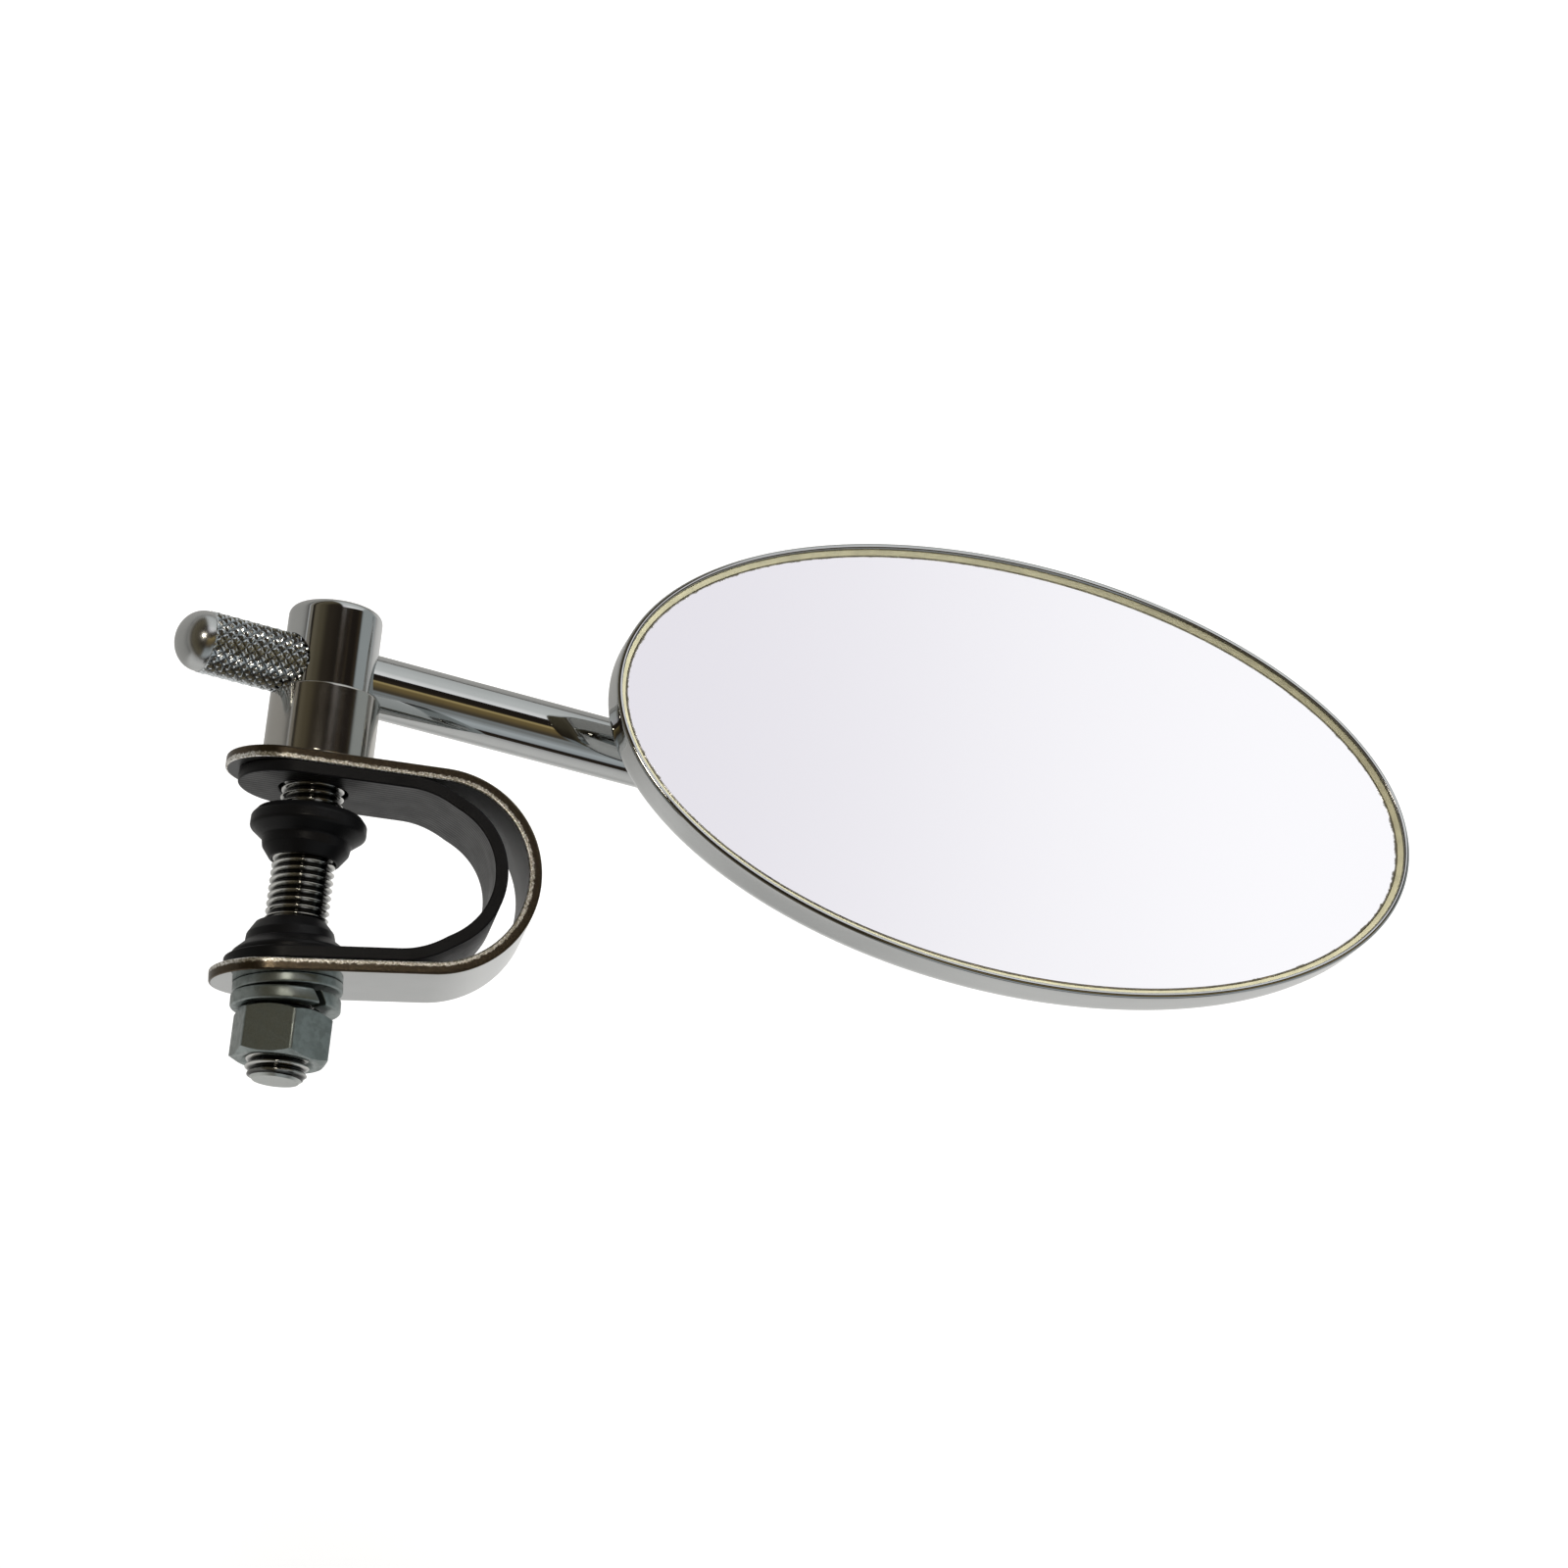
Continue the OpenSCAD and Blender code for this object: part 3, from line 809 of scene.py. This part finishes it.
def hexRadius(s, angle):  # hexagon with rounded corners, a corner at angle 0
    sixth = math.pi / 6
    phi = (angle + sixth) % (2 * sixth) - sixth
    inner = s["flats"] / 2 - s["corner"]
    d = inner / math.cos(sixth)
    limit = math.atan2(s["corner"] * 0.5, d + s["corner"] * math.cos(sixth))
    if abs(phi) < limit:
        return d * math.cos(phi) + math.sqrt(s["corner"] ** 2 - (d * math.sin(phi)) ** 2)
    return s["flats"] / 2 / math.cos(sixth - abs(phi))


def nutColumn(s, wide):  # one side of the nut, from the bore's foot out and up to the bore's top
    chamfer, bored = s["chamfer"], s["bore"]
    drop = (wide - chamfer) * math.tan(math.radians(s["chamferAngle"]))
    half = [(bored + out, deep) for out, deep in s["mouth"]] + [(chamfer - 0.1, 0.0)]
    half += [(chamfer + (wide - chamfer) * t, drop * t) for t in (0.0, 0.05, 0.35, 0.7, 1.0)]
    half += [(wide, drop + 0.03)]
    return half + [(radius, s["height"] - height) for radius, height in reversed(half)]


def makeNut(s):
    near = 0.1  # radians beside a corner that take finer columns
    angles = []
    for k in range(6):
        corner = k * math.pi / 3
        angles += list(corner + np.linspace(-near, near, 13))
        angles += list(corner + np.linspace(near, math.pi / 3 - near, 23)[1:-1])
    turned = math.radians(s["turn"])
    columns = [[onCircle(radius, a + turned, height) for radius, height in nutColumn(s, hexRadius(s, a))]
               for a in angles]
    points = [point for ring in zip(*columns) for point in ring]
    makePiece("hexNut", (points, gridFaces(len(columns[0]), len(angles), True)), onBolt(s["foot"]), plated,
              "nut", ("hex_nut",), 24)


makeNut(nutSettings)
print("bushes, washers and nut built")


# mirror head: glass, seal and shell
headSettings = {
    "seat": 0.03, "seal": 0.8, "sealTop": 0.8, "sealFlat": 0.1, "sealEdge": 0.05, "sealLow": 0.04,
    "ledge": 2.4, "lip": 1.35, "lipWall": 0.2, "bead": 0.6, "offset": 1.8, "wall": -4.6,
    "lipInside": ((0.02, 0.12), (0.06, 0.04), (0.14, 0.0)),  # out from the seal, down from the lip
    "depth": 15.5, "pad": 0.3,
}


def makeGlass():
    thick, edge = glassSettings["thickness"], glassSettings["edge"]
    disc = [(share, 0, 0) for share in (0.0, 0.25, 0.5, 0.75, 0.95)]
    disc += [(1, -edge - 0.1, 0), (1, -edge, 0), (1, -edge * 0.3, -edge * 0.3), (1, 0, -edge),
             (1, 0, -thick), (0, 0, -thick)]
    makePiece("mirrorGlass", sweepOval(disc), inHead, silvered, "head", ("mirror_glass",))


def makeSeal(s):  # slopes in towards the glass
    thick, seat, top, edge = glassSettings["thickness"], s["seat"], s["sealTop"], s["sealEdge"]
    wide = s["seal"] - seat
    section = roundOff([(seat, -thick), (wide, -thick), (wide, top, edge), (wide - s["sealFlat"], top, edge),
                        (seat, s["sealLow"], 0.03)], closed=True)
    ring = [(1, offset, height) for offset, height in section]
    makePiece("glassSeal", sweepOval(ring, closed=True), inHead, cream, "head", ("glass_seal",))


def makeShell(s):
    seal, top, bead, out, wall = s["seal"], s["lip"], s["bead"], s["offset"], s["wall"]
    under = -glassSettings["thickness"] - s["seat"]
    lip = [(1, seal - s["ledge"], under), (1, seal, under), (1, seal, s["lipWall"])]
    lip += [(1, seal + aside, top - down) for aside, down in s["lipInside"]]
    for degrees in range(90, -1, -10):
        a = math.radians(degrees)
        lip.append((1, out - bead * (1 - math.cos(a)), top - bead * (1 - math.sin(a))))
    back = [(1, out, wall * k / 4) for k in range(1, 5)]
    for degrees in range(5, 91, 5):
        a = math.radians(degrees)
        back.append((s["pad"] + (1 - s["pad"]) * math.cos(a), out,
                     wall - (s["depth"] + wall) * math.sin(a)))
    back += [(share, 0, -s["depth"]) for share in (0.28, 0.2, 0.1, 0.0)]
    makePiece("mirrorShell", sweepOval(lip + back), inHead, polished, "head", ("mirror_shell",),
              45)


makeGlass()
makeSeal(headSettings)
makeShell(headSettings)
for name in ("socket_bracket", "stem_ball"):
    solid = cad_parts[name]
    solid.data.materials.clear()
    solid.data.materials.append(polished)
print("mirror head built")


# floor, lamps and surroundings
studioSettings = {
    "floorColour": (0.45, 0.45, 0.45), "floorShade": 0.99, "floorGlow": 0.76, "floorEcho": 0.43,
    "floorSize": 6.0, "floorDrop": 0.18,  # room under the part for the head to swing down
    "reflectedLightPool": (-0.06, 0.08),  # metres across +X -Y where the floor's glow, seen only in reflections, grows: a painted pool of light
    "farLift": (0.15, 1.2),  # metres out where the floor turns white
    "dark": (0.018, 0.014, 0.011), "below": (0.5, 0.5, 0.5),
    "wall": (0.38, 0.41, 0.415), "wallFrom": (0.6, 0.66), "wallTop": (0.62, 0.74),
    "lilac": (0.83, 0.815, 0.855), "lilacFrom": (0.12, -0.06), "lilacRise": (40, 56),
    "mottle": (0.1, 0.075, 0.045), "mottleShare": 0.35, "mottleScale": 3.5, "mottleFrom": (0.42, 0.68),
    "panelFrom": (0.335, 0.353), "panelLean": 0.24,
    "panel": (  # degrees from the +Y horizon upwards
        (0, (0.62, 0.64, 0.64)), (40, (0.74, 0.76, 0.76)), (56, (1.02, 1.02, 1.03)),
        (90, (1.02, 1.02, 1.03))),
    "hoopLean": 20, "hoopLeanFrom": (0.0, 0.9),
    "hoop": (  # degrees from the +Y horizon over the top to the -Y horizon
        (0, (0.018, 0.014, 0.011)), (91, (0.018, 0.014, 0.011)), (96, (0.5, 0.385, 0.17)),
        (104, (0.2, 0.145, 0.06)), (126, (0.075, 0.06, 0.04)), (134, (0.3, 0.33, 0.345)),
        (158, (0.5, 0.54, 0.56)), (171, (0.42, 0.45, 0.47)), (176, (0.018, 0.014, 0.011)),
        (180, (0.018, 0.014, 0.011))),
    "brownFrom": (-0.2, -0.08),
    "brown": (  # from the horizon of the -X side upwards
        (0.0, (0.24, 0.22, 0.19)), (0.1, (0.3, 0.28, 0.24)), (0.13, (0.02, 0.016, 0.012)),
        (0.17, (0.02, 0.016, 0.012)), (0.26, (0.15, 0.13, 0.09)), (0.5, (0.1, 0.085, 0.055)),
        (0.75, (0.035, 0.028, 0.02)), (1.0, (0.018, 0.014, 0.011))),
}


def makeFloor(s):
    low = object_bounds()[0].z - s["floorDrop"]
    half = s["floorSize"] / 2
    mesh = bpy.data.meshes.new("studioFloor")
    mesh.from_pydata([(-half, -half, low), (half, -half, low), (half, half, low), (-half, half, low)],
                     [], [(0, 1, 2, 3)])
    floor = bpy.data.objects.new("studioFloor", mesh)
    scene.collection.objects.link(floor)
    floor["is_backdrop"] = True
    paint = newPaint("paleFloor")
    where = paint.coordinates()
    east, north = paint.axes(where)[:2]
    # painted pool of light: a floor glow that only reflections see, stronger towards +X -Y
    reflectedLightPool = paint.between(east - north, *s["reflectedLightPool"])
    seen = paint.rays("Camera") + paint.rays("Transmission") + paint.rays("Glossy") * reflectedLightPool * s["floorEcho"]
    lift = paint.between(paint.length(east, north), *s["farLift"]) * (1 - s["floorGlow"])
    glow = paint.blend(seen * s["floorGlow"] + lift * paint.rays("Camera"), (0, 0, 0), (1, 1, 1))
    shaded = scaled(s["floorColour"], s["floorShade"])
    colour = paint.blend(paint.noise(where, 3, 2), s["floorColour"], shaded)
    mesh.materials.append(paint.finish({"Base Color": colour, "Roughness": 0.9, "Specular IOR Level": 0.0,
                                        "Emission Color": glow, "Emission Strength": 1.0}))


def makeWorld(s):
    world = bpy.data.worlds.new("studioWorld")
    scene.world = world
    paint = Paint(world)
    where = paint.coordinates("Generated")
    x, y, z = paint.axes(where)
    bow = paint.node("Math", {"operation": "ARCTAN2"}, {0: z, 1: y}) * (180 / math.pi)
    # bands over the part, leaning towards +X
    lean = paint.between(x, *s["hoopLeanFrom"]) * s["hoopLean"]
    hoop = paint.ramp((bow + lean) / 180, [(place / 180, tone) for place, tone in s["hoop"]])
    mottled = paint.between(paint.noise(where, s["mottleScale"], 2), *s["mottleFrom"]) * s["mottleShare"]
    hoop = paint.blend(mottled, hoop, s["mottle"])
    # white panel behind, which the glass shows
    panel = paint.ramp(bow / 90, [(place / 90, tone) for place, tone in s["panel"]])
    lilac = paint.between(x, *s["lilacFrom"]) * paint.between(bow, *s["lilacRise"])
    panel = paint.blend(lilac, panel, s["lilac"])
    edge = y - s["panelLean"] * paint.node("Math", {"operation": "MAXIMUM"}, {0: x, 1: 0.0})
    room = paint.blend(paint.between(edge, *s["panelFrom"]), hoop, panel)
    # brown side, far wall and the ground
    room = paint.blend(paint.between(x, *s["brownFrom"]), paint.ramp(z, s["brown"]), room)
    wall = paint.blend(paint.between(z, *s["wallTop"]), s["wall"], s["dark"])
    room = paint.blend(paint.between(x, *s["wallFrom"]), room, wall)
    room = paint.blend(paint.between(z, -0.01, 0.01), s["below"], room)
    lit = paint.node("Background", {}, {"Color": room, "Strength": 1.0})
    white = paint.node("Background", {}, {"Color": (1, 1, 1, 1), "Strength": 1.0})
    paint.surface(paint.node("MixShader", {}, {0: paint.rays("Camera"), 1: lit, 2: white}))


lampTarget = Vector((0.05, 0, 0))
lampSettings = {
    "key": {"place": (0.0, 0.85, 1.35), "size": 0.5, "power": 18.0, "colour": (1.0, 0.985, 0.96)},
    "fill": {"place": (0.9, -0.9, 1.2), "size": 1.2, "power": 7.0, "colour": (0.97, 0.98, 1.0)},
    "front": {"place": (-0.46, 0.1, 0.86), "size": 0.14, "power": 1.1, "colour": (1.0, 0.92, 0.78)},
}


def makeLamps(lamps):
    for name, s in lamps.items():
        data = bpy.data.lights.new(name + "Lamp", "AREA")
        data.energy, data.size, data.color = s["power"], s["size"], s["colour"]
        lamp = bpy.data.objects.new(name + "Lamp", data)
        scene.collection.objects.link(lamp)
        lamp.location = s["place"]
        lamp.rotation_mode = "QUATERNION"
        lamp.rotation_quaternion = (Vector(s["place"]) - lampTarget).to_track_quat("Z", "Y")
        lamp.visible_glossy = name == "front"  # the highlight on edges, threads and knurl


makeFloor(studioSettings)
makeWorld(studioSettings)
makeLamps(lampSettings)
scene.view_settings.view_transform = "Standard"
print("studio lit")
